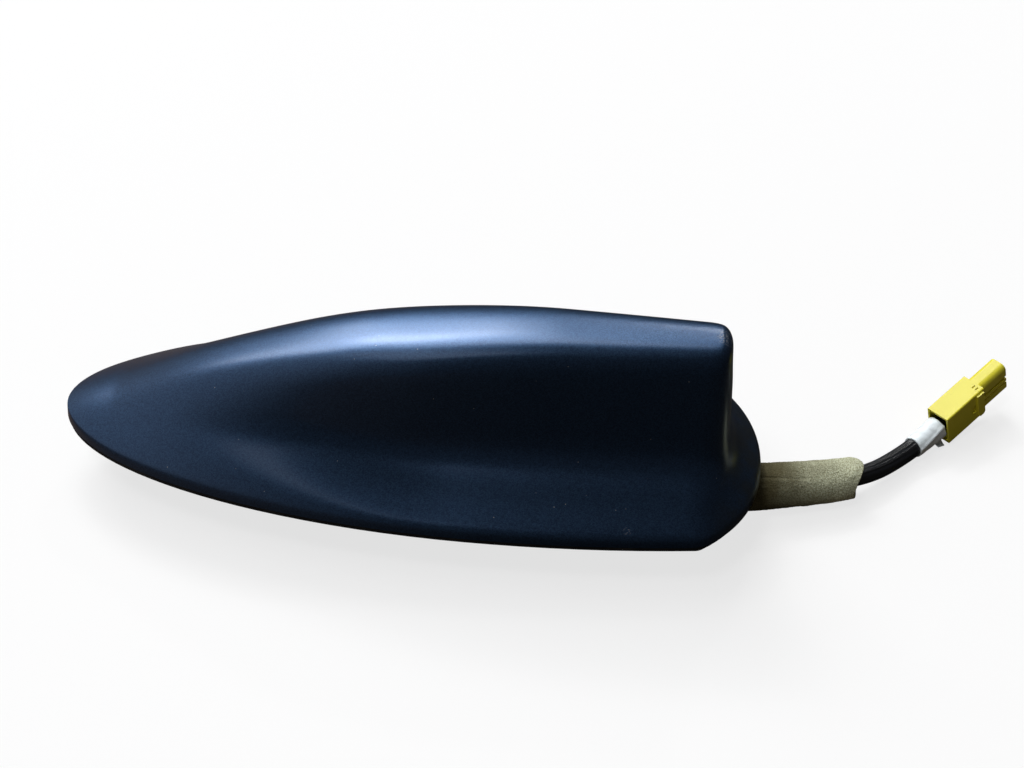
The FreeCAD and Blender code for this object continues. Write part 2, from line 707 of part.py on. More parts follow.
def screw(name, x, y, shank, shank_low, shank_length, head, head_low, head_height, slot_low):
    # round head with a cross recess
    bodies = [cylinder(name + "_shank", shank, shank_length, x, y, shank_low),
              cylinder(name + "_head", head, head_height, x, y, head_low)]
    slots = [box(name + "_slot_a", head, head + " / 4", head_height + " / 2",
                 f"{x} - ({head}) / 2", f"{y} - ({head}) / 8", slot_low),
             box(name + "_slot_b", head + " / 4", head, head_height + " / 2",
                 f"{x} - ({head}) / 8", f"{y} - ({head}) / 2", slot_low)]
    return cut(name, fuse(name + "_solid", bodies), fuse(name + "_cross", slots))


seat = "(gasket_thickness + screw_head_height + easy_fit)"
cover_screws = group("cover_screws", [
    screw(f"cover_screw_{i}", x, y, "screw_radius", seat, f"{pad_top} + screw_grip - {seat}",
          "screw_head", "gasket_thickness + easy_fit", "screw_head_height", "gasket_thickness + easy_fit")
    for i, (x, y) in enumerate(cover_spots(), 1)])
board_screws = group("board_screws", [
    screw(f"board_screw_{i}", x, y, "board_screw_radius", f"{plate_top} - plate_thickness / 4",
          f"{board_top} - {plate_top} + plate_thickness / 4", "board_screw_head", board_top,
          "board_thickness", f"{board_top} + board_thickness / 2")
    for i, (x, y) in enumerate(board_spots(), 1)])

# Main board, notched round the cover's posts and open where the cable comes up
main_board = new_body("main_board")
board_plan = sketch(main_board, "board_plan", "XY_Plane", board_low)
board_ahead = f"{board_front_x} + board_corner"
board_behind = f"{board_rear_x} - board_corner"
polygon(board_plan, [(board_front_x, "board_corner - board_half"), (board_ahead, "-board_half"),
                     (board_behind, "-board_half"), (board_rear_x, "board_corner - board_half"),
                     (board_rear_x, "board_half - board_corner"), (board_behind, "board_half"),
                     (board_ahead, "board_half"), (board_front_x, "board_half - board_corner")])
pad(main_board, "board_pad", board_plan, "board_thickness")
board_openings = sketch(main_board, "board_openings", "XY_Plane", board_top)
rectangle(board_openings, "window_front", window_rear_x, "-window_half", "window_half")
for x, y in board_spots():
    circle(board_openings, x, y, "board_screw_radius + easy_fit")
pin_x = f"{patch_x} + pin_offset"
circle(board_openings, pin_x, "0", "pin_radius + easy_fit")
tab_fronts = [f"{leg} + (leg_length - tab_length) / 2" for leg in ("element_front", rear_leg_x)]
for front in tab_fronts:
    rectangle(board_openings, f"{front} - close_fit", f"{front} + tab_length + close_fit",
              "-board_thickness / 2 - close_fit", "board_thickness / 2 + close_fit")
pocket(main_board, "board_holes", board_openings, "board_thickness")
for side in ("mid_post_y", "-mid_post_y"):
    notch = sketch(main_board, "board_notch", "XY_Plane", board_top)
    circle(notch, "mid_post_x", side, "post_radius + 4 * easy_fit")
    pocket(main_board, "board_notch_cut", notch, "board_thickness")

# Ceramic patch with one cut corner, its feed pin, and the can under it
patch_antenna = new_body("patch_antenna")
patch_plan = sketch(patch_antenna, "patch_plan", "XY_Plane", board_top)
near = f"{patch_x} - patch_side / 2"
far = f"{patch_x} + patch_side / 2"
polygon(patch_plan, [(near, "-patch_side / 2"), (far, "-patch_side / 2"),
                     (far, "patch_side / 2 - patch_bevel"),
                     (far + " - patch_bevel", "patch_side / 2"), (near, "patch_side / 2")])
pad(patch_antenna, "patch_pad", patch_plan, "patch_height")
patch_hole = sketch(patch_antenna, "patch_hole", "XY_Plane", board_top + " + patch_height")
circle(patch_hole, pin_x, "0", "pin_radius + close_fit")
pocket(patch_antenna, "patch_bore", patch_hole, "patch_height")
pin_low = f"{board_low} - can_height / 3"
patch_feed_pin = fuse("patch_feed_pin", [
    cylinder("pin_shank", "pin_radius", f"{board_top} + patch_height - ({pin_low})",
             pin_x, "0", pin_low),
    cylinder("pin_head", "pin_radius * 2.2", "pin_radius * 0.8", pin_x, "0", f"{board_top} + patch_height")])
shield_can = new_body("shield_can")
can_plan = sketch(shield_can, "can_plan", "XY_Plane", f"{board_low} - can_height")
can_front = f"{patch_x} - can_length / 2"
can_rear = f"{patch_x} + can_length / 2"
rectangle(can_plan, can_front, can_rear, "-can_width / 2", "can_width / 2")
pad(shield_can, "can_pad", can_plan, "can_height")
can_hollow = sketch(shield_can, "can_hollow", "XY_Plane", board_low)
rectangle(can_hollow, f"{can_front} + can_sheet", f"{can_rear} - can_sheet",
          "can_sheet - can_width / 2", "can_width / 2 - can_sheet")
pocket(shield_can, "can_pocket", can_hollow, "can_height - can_sheet")

# Upright element in the fin: its top edge follows the ridge
fin_element = new_body("fin_element")
element_side = sketch(fin_element, "element_side", "XZ_Plane")
climb_left = "(1 - min((element_front + stud_from_nose) / crest_run; 1)) ^ 1.9"
front_ridge = f"{rim_top} + (fin_height - {rim_top} - crest_rise) * (1 - {climb_left})"
front_top = f"{front_ridge} - cover_wall - 2 * element_air"
high_top = "fin_height - crest_rise - cover_wall - 2 * element_air"
element_bend = "crest_run - stud_from_nose"
polygon(element_side, [
    ("element_front", board_top), ("element_front + leg_length", board_top),
    ("element_front + leg_length", "element_low"), (rear_leg_x, "element_low"), (rear_leg_x, board_top),
    (f"{rear_leg_x} + leg_length", board_top), (f"{rear_leg_x} + leg_length", "element_low"),
    (element_rear_x, "element_low"), (element_rear_x, f"{high_top} - 2 * element_air"),
    (f"{element_rear_x} - 2 * element_air", high_top), (element_bend, high_top),
    ("element_front", f"{front_top} - element_air")])
pad(fin_element, "element_pad", element_side, "board_thickness", True)
for front in tab_fronts:
    tab = sketch(fin_element, "element_tab", "XZ_Plane")
    rectangle(tab, front, f"{front} + tab_length",
              f"{board_low} - board_thickness / 4", f"{board_top} + close_fit")
    pad(fin_element, "element_tab_pad", tab, "board_thickness", True)

# Strap over the cable's end
cable_clamp = new_body("cable_clamp")
clamp_front = sketch(cable_clamp, "clamp_front", "YZ_Plane", "clamp_x")
axis_level = f"{board_top} + cable_radius"
grip = "cable_radius + close_fit"
polygon(clamp_front, [
    (f"-({grip} + clamp_sheet + clamp_foot)", board_top), (f"{grip} + clamp_sheet + clamp_foot", board_top),
    (f"{grip} + clamp_sheet + clamp_foot", f"{board_top} + clamp_sheet"),
    (f"{grip} + clamp_sheet", f"{board_top} + clamp_sheet"),
    (f"{grip} + clamp_sheet", axis_level + " + cable_radius / 2"),
    ("cable_radius / 2 + clamp_sheet", f"{axis_level} + {grip} + clamp_sheet"),
    ("-cable_radius / 2 - clamp_sheet", f"{axis_level} + {grip} + clamp_sheet"),
    (f"-({grip} + clamp_sheet)", axis_level + " + cable_radius / 2"),
    (f"-({grip} + clamp_sheet)", f"{board_top} + clamp_sheet"),
    (f"-({grip} + clamp_sheet + clamp_foot)", f"{board_top} + clamp_sheet")])
pad(cable_clamp, "clamp_pad", clamp_front, "clamp_length")
clamp_bore = sketch(cable_clamp, "clamp_bore", "YZ_Plane", "clamp_x")
circle(clamp_bore, "0", axis_level, grip)
clamp_cut = pocket(cable_clamp, "clamp_cut", clamp_bore, "clamp_length")
clamp_cut.Reversed = True
clamp_slot = sketch(cable_clamp, "clamp_slot", "YZ_Plane", "clamp_x")
rectangle(clamp_slot, f"-({grip})", grip, f"{board_top} - clamp_sheet", axis_level)
slot_cut = pocket(cable_clamp, "clamp_slot_cut", clamp_slot, "clamp_length")
slot_cut.Reversed = True

# Grommet in the outlet's mouth
cable_grommet = cut("cable_grommet", fuse("grommet_solid", [
    lying_cylinder("grommet_plug", "grommet_radius", "grommet_depth",
                   "outlet_rear - grommet_depth", "-outlet_depth"),
    lying_cylinder("grommet_rim", "grommet_flange", "grommet_collar", "outlet_rear", "-outlet_depth")]),
    lying_cylinder("grommet_bore", "cable_radius + close_fit", "grommet_depth + grommet_collar",
                   "outlet_rear - grommet_depth", "-outlet_depth"))


# Plug: drawn along its own axis with its back face at zero, then laid at the cable's end
def lay_plug(item):
    spot = f"vector(plug_x; plug_y; {plug_middle})"
    return bind(item, Placement=f"placement({spot}; rotation(plug_heading; -plug_pitch; -plug_roll))")


connector_housing = lay_plug(new_body("connector_housing"))
half_width = "plug_width / 2"
half_height = "plug_height / 2"
plug_face = sketch(connector_housing, "plug_face", "YZ_Plane")
rectangle(plug_face, f"-{half_width}", half_width, f"-{half_height}", half_height)
plug_pad = pad(connector_housing, "plug_pad", plug_face, "plug_length")
doc.recompute()
plug_fillet = connector_housing.newObject("PartDesign::Fillet", "plug_fillet")
plug_fillet.Base = (plug_pad, long_edges(plug_pad, Vector(1, 0, 0), lambda spot: True))
bind(plug_fillet, Radius="plug_round")
nose_top = "(plug_height / 2 - nose_drop)"
nose_low = "(nose_lift - plug_height / 2)"
nose_face = sketch(connector_housing, "nose_face", "YZ_Plane", "plug_length")
rectangle(nose_face, "-nose_width / 2", "nose_width / 2", nose_low, nose_top)
nose_pad = pad(connector_housing, "nose_pad", nose_face, "nose_reach")
doc.recompute()
nose_fillet = connector_housing.newObject("PartDesign::Fillet", "nose_fillet")
nose_fillet.Base = (nose_pad, long_edges(nose_pad, Vector(1, 0, 0),
                                         lambda spot: spot.x > size("plug_length") and spot.z > 0))
bind(nose_fillet, Radius="nose_round")
for side in ("", "-"):
    groove = sketch(connector_housing, "nose_groove", "XZ_Plane", f"{side}(nose_width / 2)")
    rectangle(groove, "plug_length + 2 * plug_round", "plug_length + nose_reach",
              "-groove_width / 2", "groove_width / 2")
    rectangle(groove, "plug_length + 2 * plug_round", "plug_length + nose_reach",
              "-groove_width * 2.2", "-groove_width * 1.7")
    pocket(connector_housing, "nose_groove_cut", groove, "2 * groove_depth", True)
stop = sketch(connector_housing, "side_stop", "XZ_Plane", "plug_width / 2")
stop_end = "plug_length - stop_length / 4"
polygon(stop, [(f"{stop_end} - stop_length", f"{half_height} - stop_length / 4"),
               (f"{stop_end} - stop_length", f"{half_height} - stop_height + stop_length / 4"),
               (f"{stop_end} - stop_length * 0.75", f"{half_height} - stop_height"),
               (f"{stop_end} - stop_length * 0.25", f"{half_height} - stop_height"),
               (stop_end, f"{half_height} - stop_height + stop_length / 4"),
               (stop_end, f"{half_height} - stop_length / 4")])
pad(connector_housing, "side_stop_pad", stop, "2 * stop_thickness", True)
window = sketch(connector_housing, "side_window", "XZ_Plane", "plug_width / 2")
rectangle(window, f"{stop_end} - stop_length * 1.7", f"{stop_end} - stop_length * 1.1",
          "-plug_height / 6", "plug_height / 10")
pocket(connector_housing, "side_window_cut", window, "2 * groove_depth", True)
socket = sketch(connector_housing, "socket", "YZ_Plane")
rectangle(socket, f"plug_wall - {half_width}", f"{half_width} - plug_wall",
          f"plug_wall - {half_height}", f"{half_height} - plug_wall")
pocket(connector_housing, "socket_cut", socket, "socket_depth").Reversed = True
bore_face = sketch(connector_housing, "bore_face", "YZ_Plane")
circle(bore_face, "0", "0", "shell_radius + close_fit")
pocket(connector_housing, "bore_cut", bore_face, "plug_length + nose_reach").Reversed = True
top_slots = sketch(connector_housing, "top_slots", "XY_Plane", half_height)
for share in ("0.12", "0.28"):
    rectangle(top_slots, "plug_length - 0.75 * stop_length", "plug_length - 0.3 * stop_length",
              f"-plug_width * {share} - plug_round", f"-plug_width * {share}")
pocket(connector_housing, "top_slot_cut", top_slots, "groove_depth")

tip = "plug_length + nose_reach - contact_recess"
shield_ferrule = lay_plug(new_body("shield_ferrule"))
ferrule_profile = sketch(shield_ferrule, "ferrule_profile", "XY_Plane")
polygon(ferrule_profile, [("-barrel_lead", "0"), ("-barrel_lead", "barrel_radius"),
                          ("barrel_length - barrel_lead", "barrel_radius"),
                          ("socket_depth", "shell_radius"), (tip, "shell_radius"),
                          (tip, "shell_radius - shell_sheet"), ("socket_depth", "shell_radius - shell_sheet"),
                          ("socket_depth", "0")])
turned(shield_ferrule, "ferrule_turned", ferrule_profile, "H_Axis")
contact_insulator = lay_plug(new_body("contact_insulator"))
insulator_profile = sketch(contact_insulator, "insulator_profile", "XY_Plane")
polygon(insulator_profile, [("socket_depth", "contact_radius + close_fit"),
                            ("socket_depth", "shell_radius - shell_sheet - close_fit"),
                            ("plug_length", "shell_radius - shell_sheet - close_fit"),
                            ("plug_length", "contact_radius + close_fit")])
turned(contact_insulator, "insulator_turned", insulator_profile, "H_Axis")
centre_contact = lay_plug(new_body("centre_contact"))
contact_profile = sketch(centre_contact, "contact_profile", "XY_Plane")
polygon(contact_profile, [("socket_depth", "0"), ("socket_depth", "contact_radius"),
                          (f"{tip} - contact_radius", "contact_radius"),
                          (tip, "contact_radius / 2"), (tip, "0")])
turned(centre_contact, "contact_turned", contact_profile, "H_Axis")

doc.recompute()
broken = [item.Label for item in doc.Objects if "Invalid" in item.State or "Error" in item.State]
if broken:
    raise RuntimeError("not built: " + ", ".join(broken))

pieces = [fin_cover, base_gasket, inner_seal, base_plate, mounting_stud, cover_screws, main_board,
          board_screws, shield_can, patch_antenna, patch_feed_pin, fin_element, cable_clamp, cable_grommet,
          antenna_cable, foam_sleeve, white_tape, connector_housing, shield_ferrule, contact_insulator,
          centre_contact]
os.makedirs("parts", exist_ok=True)
for piece in pieces:
    shape = piece.Shape
    if shape.isNull() or not shape.isValid() or not shape.Solids:
        raise RuntimeError("no valid solid: " + piece.Label)
    shape.exportStep(f"parts/{piece.Label}.step")
    print(piece.Label, len(shape.Solids), "solid(s)", round(shape.Volume), "mm3")
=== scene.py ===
import math
import bmesh
import bpy
from mathutils import Matrix, Vector, noise


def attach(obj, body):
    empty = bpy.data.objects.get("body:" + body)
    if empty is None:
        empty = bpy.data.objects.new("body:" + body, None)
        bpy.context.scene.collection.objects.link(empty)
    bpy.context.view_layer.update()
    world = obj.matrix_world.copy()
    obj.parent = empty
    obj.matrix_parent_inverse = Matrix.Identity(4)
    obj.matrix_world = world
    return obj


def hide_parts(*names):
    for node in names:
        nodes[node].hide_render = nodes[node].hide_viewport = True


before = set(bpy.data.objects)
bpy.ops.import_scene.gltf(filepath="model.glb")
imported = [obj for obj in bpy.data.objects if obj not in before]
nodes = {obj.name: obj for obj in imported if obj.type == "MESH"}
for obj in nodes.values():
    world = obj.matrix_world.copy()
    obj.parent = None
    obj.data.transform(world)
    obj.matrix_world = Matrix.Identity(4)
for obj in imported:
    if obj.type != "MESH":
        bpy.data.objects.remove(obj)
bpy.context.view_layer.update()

scene = bpy.context.scene
scene.view_settings.view_transform = "Standard"
print("frame loaded:", len(nodes), "nodes")


# a socket that can be added, multiplied and so on
class Wire:
    def __init__(self, tree, socket=None):
        self.tree = tree
        self.socket = socket

    # any node: its settings first, then its sockets' values or links
    def node(self, kind, settings, sockets, output=0):
        made = self.tree.nodes.new(kind)
        for name, value in settings.items():
            setattr(made, name, value)
        for name, value in sockets.items():
            if isinstance(value, Wire):
                self.tree.links.new(value.socket, made.inputs[name])
            else:
                made.inputs[name].default_value = value
        return Wire(self.tree, made.outputs[output])

    def math(self, operation, *values):
        return self.node("ShaderNodeMath", {"operation": operation}, dict(enumerate(values)))

    def __add__(self, other):
        return self.math("ADD", self, other)

    def __radd__(self, other):
        return self.math("ADD", other, self)

    def __sub__(self, other):
        return self.math("SUBTRACT", self, other)

    def __rsub__(self, other):
        return self.math("SUBTRACT", other, self)

    def __mul__(self, other):
        return self.math("MULTIPLY", self, other)

    def __rmul__(self, other):
        return self.math("MULTIPLY", other, self)

    # smooth step from low to high, 0 to 1
    def rise(self, low, high):
        return self.node("ShaderNodeMapRange", {"interpolation_type": "SMOOTHSTEP"},
                         {"Value": self, "From Min": low, "From Max": high, "To Min": 0.0, "To Max": 1.0})

    # sockets 6 and 7 and output 2 of the node are its colours
    def mixColour(self, first, second):
        return self.node("ShaderNodeMix", {"data_type": "RGBA"}, {0: self, 6: first, 7: second}, 2)


# screen levels, 0 to 255, as a linear colour
def linear(red, green, blue):
    tone = [level / 255 for level in (red, green, blue)]
    return tuple(t / 12.92 if t <= 0.04045 else ((t + 0.055) / 1.055) ** 2.4 for t in tone) + (1.0,)


# a material with its principled shader, ready for wires
class Finish:
    def __init__(self, name, constants):
        self.material = bpy.data.materials.new(name)
        self.material.use_nodes = True
        self.tree = self.material.node_tree
        self.shader = self.tree.nodes["Principled BSDF"]
        for socket, value in constants.items():
            self.shader.inputs[socket].default_value = value
        self.start = Wire(self.tree)
        self.place = self.coordinate("Object")

    def coordinate(self, output):
        return self.start.node("ShaderNodeTexCoord", {}, {}, output)

    def feed(self, socket, wire):
        self.tree.links.new(wire.socket, self.shader.inputs[socket])

    def noise(self, scale, detail, vector=None):
        return self.start.node("ShaderNodeTexNoise", {},
                               {"Vector": vector or self.place, "Scale": scale, "Detail": detail}, "Fac")

    # noise drawn out along the piece's own UV map
    def streaks(self, scale, detail):
        stretched = self.start.node("ShaderNodeMapping", {},
                                    {"Vector": self.coordinate("UV"), "Scale": scale})
        return self.noise(1.0, detail, stretched)

    def cells(self, scale, output="Distance"):
        return self.start.node("ShaderNodeTexVoronoi", {}, {"Vector": self.place, "Scale": scale}, output)

    # a level of its own for every cell
    def cellLevel(self, scale):
        return self.start.node("ShaderNodeSeparateColor", {}, {"Color": self.cells(scale, "Color")}, "Red")

    def axis(self, output):
        return self.start.node("ShaderNodeSeparateXYZ", {}, {"Vector": self.place}, output)

    # 1 at a place on the piece, fading to 0 at its reach
    def spot(self, centre, reach, core=0.3):
        away = self.start.node("ShaderNodeVectorMath", {"operation": "DISTANCE"},
                               {0: self.place, 1: centre}, "Value")
        return 1 - away.rise(reach * core, reach)

    def bump(self, height, strength, distance):
        self.feed("Normal", self.start.node("ShaderNodeBump", {}, {"Height": height, "Strength": strength,
                                            "Distance": distance}))


# camera, with its angles in degrees
cameraSetup = {"place": (0.01305, -0.45198, 0.44375), "down": 43.0, "turn": -0.024, "roll": 5.11,
               "lens": 90.26, "sensor": 36.0, "near": 0.01}

cameraData = bpy.data.cameras.new("camera")
cameraData.sensor_width = cameraSetup["sensor"]
cameraData.lens = cameraSetup["lens"]
cameraData.clip_start = cameraSetup["near"]
camera = bpy.data.objects.new("camera", cameraData)
scene.collection.objects.link(camera)
facing = Matrix.Rotation(math.radians(cameraSetup["turn"]), 4, "Z")
facing = facing @ Matrix.Rotation(math.radians(90 - cameraSetup["down"]), 4, "X")
facing = facing @ Matrix.Rotation(math.radians(cameraSetup["roll"]), 4, "Z")
camera.matrix_world = Matrix.Translation(cameraSetup["place"]) @ facing
scene.camera = camera
print("camera set")


def addPiece(name, mesh, slot, *replaced):
    piece = bpy.data.objects.new(name, mesh)
    scene.collection.objects.link(piece)
    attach(piece, "root")
    if replaced:
        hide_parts(*replaced)
    return piece


def meshFrom(bm, name):
    for face in bm.faces:
        face.smooth = True
    mesh = bpy.data.meshes.new(name)
    bm.to_mesh(mesh)
    bm.free()
    return mesh


# the lead, from the outlet to the plug, and its hidden end on the board
leadSetup = {"radius": 0.00245, "thin": 0.99,
             "waves": [(0.006, 3, 5), (0.018, 12, 2)],  # height, lobes, twist
             "rings": 150, "sides": 96, "insideRings": 60, "insideSides": 32, "pathSteps": 24,
             "inside": [(-0.010, 0, 0.01125), (0.009, 0, 0.01125), (0.033, 0, -0.007), (0.046, 0, -0.007)],
             "free": [(0.046, 0, -0.007), (0.055, 0, -0.007), (0.075, 0.0021, -0.0076),
                      (0.088, 0.0054, -0.0078), (0.099, 0.0086, -0.0081), (0.1062, 0.0129, -0.0089),
                      (0.112, 0.0186, -0.0097), (0.1182, 0.02544, -0.01009), (0.12343, 0.03092, -0.00824)]}


# points read from the smooth spline of a route
def readRun(points):
    curve = bpy.data.curves.new("run", "CURVE")
    curve.dimensions = "3D"
    curve.resolution_u = leadSetup["pathSteps"]
    spline = curve.splines.new("NURBS")
    spline.points.add(len(points) - 1)
    for point, place in zip(spline.points, points):
        point.co = (*place, 1.0)
    spline.order_u = 3
    spline.use_endpoint_u = True
    line = bpy.data.objects.new("run", curve)
    scene.collection.objects.link(line)
    mesh = bpy.data.meshes.new_from_object(line)
    run = [vert.co.copy() for vert in mesh.vertices]
    bpy.data.objects.remove(line)
    bpy.data.meshes.remove(mesh)
    return run


def runLength(run):
    return sum((b - a).length for a, b in zip(run, run[1:]))


# place, heading, side and top of a run at a distance along it
def stationOn(run, distance):
    left = distance
    for a, b in zip(run, run[1:]):
        step = (b - a).length
        if left <= step or b is run[-1]:
            heading = (b - a).normalized()
            side = heading.cross(Vector((0, 0, 1))).normalized()
            return a + heading * left, heading, side, side.cross(heading)
        left -= step


# a round tube on a run: radiusAt(share, turn) and shiftAt(share, turn), where share goes from 0 to 1
# along it, and turn is 0 at the side towards -y and a quarter turn at the top
def tubeOn(run, start, end, rings, sides, radiusAt, shiftAt=None, uvPerMetre=100):
    bm = bmesh.new()
    bmesh.ops.create_cone(bm, cap_ends=False, segments=sides, radius1=1.0, radius2=1.0, depth=1.0)
    upright = [edge for edge in bm.edges if abs(edge.verts[0].co.z - edge.verts[1].co.z) > 0.5]
    bmesh.ops.subdivide_edges(bm, edges=upright, cuts=rings)
    uv = bm.loops.layers.uv.new("UVMap")
    for face in bm.faces:
        turns = [math.atan2(loop.vert.co.y, loop.vert.co.x) % math.tau for loop in face.loops]
        for loop, turn in zip(face.loops, turns):
            if max(turns) - min(turns) > math.pi and turn < math.pi:
                turn += math.tau
            loop[uv].uv = ((loop.vert.co.z + 0.5) * (end - start) * uvPerMetre, turn / math.tau)
    for vert in bm.verts:
        share = vert.co.z + 0.5
        turn = math.atan2(vert.co.y, vert.co.x)
        distance = start + share * (end - start)
        if shiftAt:
            distance += shiftAt(share, turn)
        place, heading, side, top = stationOn(run, distance)
        vert.co = place + radiusAt(share, turn) * (math.cos(turn) * side + math.sin(turn) * top)
    bmesh.ops.recalc_face_normals(bm, faces=bm.faces)
    return bm


# turns an open end in, as a cut face with a hole
def turnIn(bm, run, distance, inner, steps, reach=0.012):
    place, heading = stationOn(run, distance)[:2]
    rim = [edge for edge in bm.edges if edge.is_boundary and (edge.verts[0].co - place).length < reach]
    for step in range(steps):
        made = bmesh.ops.extrude_edge_only(bm, edges=rim)["geom"]
        rim = [item for item in made if isinstance(item, bmesh.types.BMEdge)]
        for vert in {vert for edge in rim for vert in edge.verts}:
            away = vert.co - place
            along = heading * away.dot(heading)
            flat = away - along
            radius = flat.length + (inner - flat.length) * (step + 1) / steps
            vert.co = place + along + flat.normalized() * radius
    bmesh.ops.recalc_face_normals(bm, faces=bm.faces)


# how far one turn is past another, from minus to plus half a turn
def turnPast(turn, other):
    return math.atan2(math.sin(turn - other), math.cos(turn - other))


def bell(distance, width):
    return math.exp(-(distance / width) ** 2)


freeRun = readRun(leadSetup["free"])
insideRun = readRun(leadSetup["inside"])
freeLength = runLength(freeRun)


def leadRadius(share, turn):
    waves = [height * math.sin(lobes * turn + twist * share) for height, lobes, twist in leadSetup["waves"]]
    return leadSetup["radius"] * (leadSetup["thin"] + sum(waves))


leadTube = tubeOn(freeRun, 0.0, freeLength, leadSetup["rings"], leadSetup["sides"], leadRadius)
antennaLead = addPiece("antennaLead", meshFrom(leadTube, "antennaLead"), "cable", "antenna_cable")
insideTube = tubeOn(insideRun, 0.0, runLength(insideRun), leadSetup["insideRings"], leadSetup["insideSides"],
                    leadRadius)
leadInside = addPiece("leadInside", meshFrom(insideTube, "leadInside"), "cable")
print("lead laid:", round(freeLength * 1000, 1), "mm free")

# the foam strip round the lead, with a seam that sweeps round it, in degrees
sleeveSetup = {"start": 0.0022, "length": 0.053, "base": (0.0076, 0.0058), "tip": (0.00575, 0.0047),
               "lumps": [(0.00010, 2.1), (0.00018, 0.25)], "lumpRadius": 5.2,  # depth, scale
               "seamFrom": 92, "seamSweep": 58, "seamEnd": 0.82, "seamFade": 4,
               "seam": [(0.00009, 0.0, 0.12), (-0.00027, 0.17, 0.05)],  # height, place, width
               "slant": (0.0007, 0.0004, 0.0017), "slantPower": 6, "room": 0.00005,
               "rings": 210, "sides": 160, "endSteps": 4, "startSteps": 2}


def sleeveRadius(share, turn):
    setup = sleeveSetup
    half, rise = (a + (b - a) * share for a, b in zip(setup["base"], setup["tip"]))
    radius = half * rise / math.hypot(rise * math.cos(turn), half * math.sin(turn))
    spot = Vector((share * setup["length"] * 1000, setup["lumpRadius"] * math.cos(turn),
                   setup["lumpRadius"] * math.sin(turn)))
    for depth, scale in setup["lumps"]:
        radius += depth * noise.noise(spot * scale)
    past = turnPast(turn, math.radians(setup["seamFrom"] - setup["seamSweep"] * share))
    fade = max(0.0, 1 - (share / setup["seamEnd"]) ** setup["seamFade"])
    for height, place, width in setup["seam"]:
        radius += height * fade * bell(past - place, width)
    return radius


# the free end is cut unevenly
def sleeveSlant(share, turn):
    level, once, twice = sleeveSetup["slant"]
    return (level - once * math.cos(turn) - twice * math.cos(2 * turn)) * share ** sleeveSetup["slantPower"]


sleeveEnd = sleeveSetup["start"] + sleeveSetup["length"]
sleeveBore = leadSetup["radius"] + sleeveSetup["room"]
sleeveTube = tubeOn(freeRun, sleeveSetup["start"], sleeveEnd, sleeveSetup["rings"], sleeveSetup["sides"],
                    sleeveRadius, sleeveSlant)
turnIn(sleeveTube, freeRun, sleeveEnd, sleeveBore, sleeveSetup["endSteps"])
turnIn(sleeveTube, freeRun, sleeveSetup["start"], sleeveBore, sleeveSetup["startSteps"])
foamSleeve = addPiece("foamSleeve", meshFrom(sleeveTube, "foamSleeve"), "foam", "foam_sleeve")
print("sleeve wrapped")

# the white wrap at the plug, with its loose tail: along the lead, out to its side and down
wrapSetup = {"length": 0.0095, "back": 0.00285, "front": 0.0031, "edgeFrom": 20, "edgeSweep": 25,
             "folds": [(0.00028, 0.0, 0.16), (-0.000168, -0.5, 0.3)],  # height, place, width
             "crumple": 0.00006, "crumpleSize": (9, 2), "least": 0.00012, "room": 0.00003, "short": 0.0001,
             "tail": [(-0.0034, -0.0010), (0.0022, 0.0033), (-0.0019, -0.0040)], "tailBow": 0.35,
             "tailLevel": 0.25, "tailParts": 5, "sheet": 0.00014, "rings": 60, "sides": 96}


def wrapRadius(share, turn):
    setup = wrapSetup
    radius = setup["back"] + (setup["front"] - setup["back"]) * share
    past = turnPast(turn, math.radians(setup["edgeFrom"] + setup["edgeSweep"] * share))
    for height, place, width in setup["folds"]:
        radius += height * bell(past - place, width)
    long, wide = setup["crumpleSize"]
    spot = Vector((share * long, wide * math.cos(turn), wide * math.sin(turn)))
    radius += setup["crumple"] * noise.noise(spot)
    return max(radius, leadSetup["radius"] + setup["least"])


wrapStart = freeLength - wrapSetup["length"]
wrapTube = tubeOn(freeRun, wrapStart, freeLength - wrapSetup["short"], wrapSetup["rings"], wrapSetup["sides"],
                  wrapRadius)
turnIn(wrapTube, freeRun, wrapStart, leadSetup["radius"] + wrapSetup["room"], 1)
wrapEnd, ahead, side, top = stationOn(freeRun, freeLength)
(near, far), (inner, outer), (high, low) = wrapSetup["tail"]
flap = bmesh.ops.create_grid(wrapTube, x_segments=wrapSetup["tailParts"], y_segments=wrapSetup["tailParts"],
                             size=0.5)["verts"]
for vert in flap:
    along, out = vert.co.x + 0.5, vert.co.y + 0.5
    bowed = out - wrapSetup["tailBow"] * math.sin(math.pi * out)
    fall = out * (wrapSetup["tailLevel"] + (1 - wrapSetup["tailLevel"]) * along)
    place = wrapEnd + ahead * (near + (far - near) * along)
    place += side * (inner + (outer - inner) * bowed)
    vert.co = place + top * (high + (low - high) * fall)
flapFaces = list({face for vert in flap for face in vert.link_faces})
bmesh.ops.solidify(wrapTube, geom=flapFaces, thickness=wrapSetup["sheet"])
whiteWrap = addPiece("whiteWrap", meshFrom(wrapTube, "whiteWrap"), "tape", "white_tape")
print("wrap wound")

